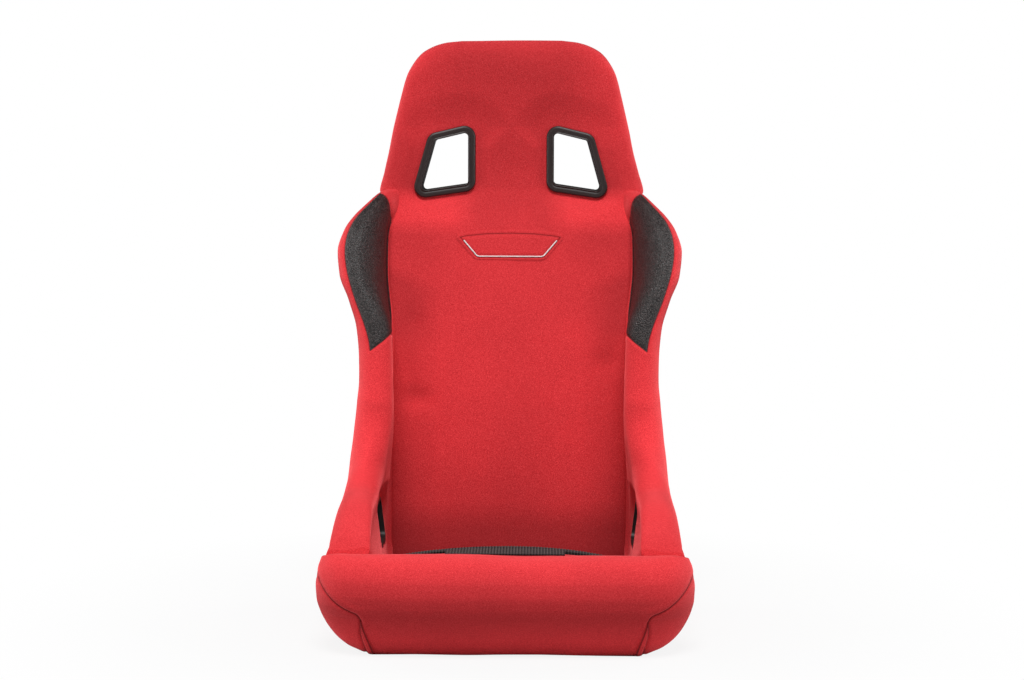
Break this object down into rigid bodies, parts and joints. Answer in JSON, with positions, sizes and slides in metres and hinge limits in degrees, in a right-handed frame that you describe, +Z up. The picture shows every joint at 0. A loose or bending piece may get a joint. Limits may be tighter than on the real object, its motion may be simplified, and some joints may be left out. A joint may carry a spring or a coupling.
{
  "type": "racing seat",
  "caption": "Fixed-back bucket racing seat: tube frame in moulded foam, side bolsters, shoulder-harness, lap-belt and crotch-strap slots, lift-off base cushion and side mounts.",
  "frame": {"origin": "on the floor plane under the base ring, in the middle of the overall width and length", "axes": "+Z up, -Y the way the seat faces, +X to the right as seen from the front"},
  "size_m": [0.5476, 0.616, 0.9],
  "materials": {
    "frame_paint": "satin black powder coat",
    "zinc_steel": "zinc plated",
    "webbing": "woven",
    "foam": "moulded foam",
    "red_knit": "short pile knit",
    "white_piping": "stitched",
    "black_vinyl": "grained",
    "black_plastic": "fine texture",
    "tape": "hook and loop",
    "ribbed_fabric": "ribbed anti-slip"
  },
  "bodies": {
    "seat": {"base_ring": "frame_paint", "back_hoop": "frame_paint", "side_tube_right": "frame_paint", "side_tube_left": "frame_paint", "cross_tube_lower": "frame_paint", "cross_tube_upper": "frame_paint", "side_plate_right": "frame_paint", "side_plate_left": "frame_paint", "mount_bushes": "zinc_steel", "seat_webbing": "webbing", "webbing_hooks": "zinc_steel", "back_webbing": "webbing", "back_foam": "foam", "back_cover": "red_knit", "rear_cover": "red_knit", "shoulder_bezel_right": "black_plastic", "shoulder_bezel_left": "black_plastic", "rear_bezel_right": "black_plastic", "rear_bezel_left": "black_plastic", "head_foam": "foam", "head_cover": "red_knit", "lap_bezel_right": "black_plastic", "lap_bezel_left": "black_plastic", "bolster_foam_right": "foam", "bolster_foam_left": "foam", "shoulder_patch_right": "black_vinyl", "shoulder_patch_left": "black_vinyl", "bolster_cover_right": "red_knit", "bolster_cover_left": "red_knit", "mount_eyelets": "zinc_steel", "roll_foam": "foam", "roll_end_right": "red_knit", "roll_end_left": "red_knit", "roll_cover": "red_knit", "base_foam": "foam", "crotch_bezel": "black_plastic", "hook_tapes": "tape", "badge_panel": "red_knit", "badge_piping": "white_piping"},
    "base_cushion": {"cushion_foam": "foam", "cushion_cover": "ribbed_fabric", "loop_tapes": "tape"}
  },
  "joints": [
    {"name": "cushion_lift", "type": "slide", "parent": "seat", "child": "base_cushion", "axis": [0, 0, 1], "range_m": [0, 0.3]}
  ]
}
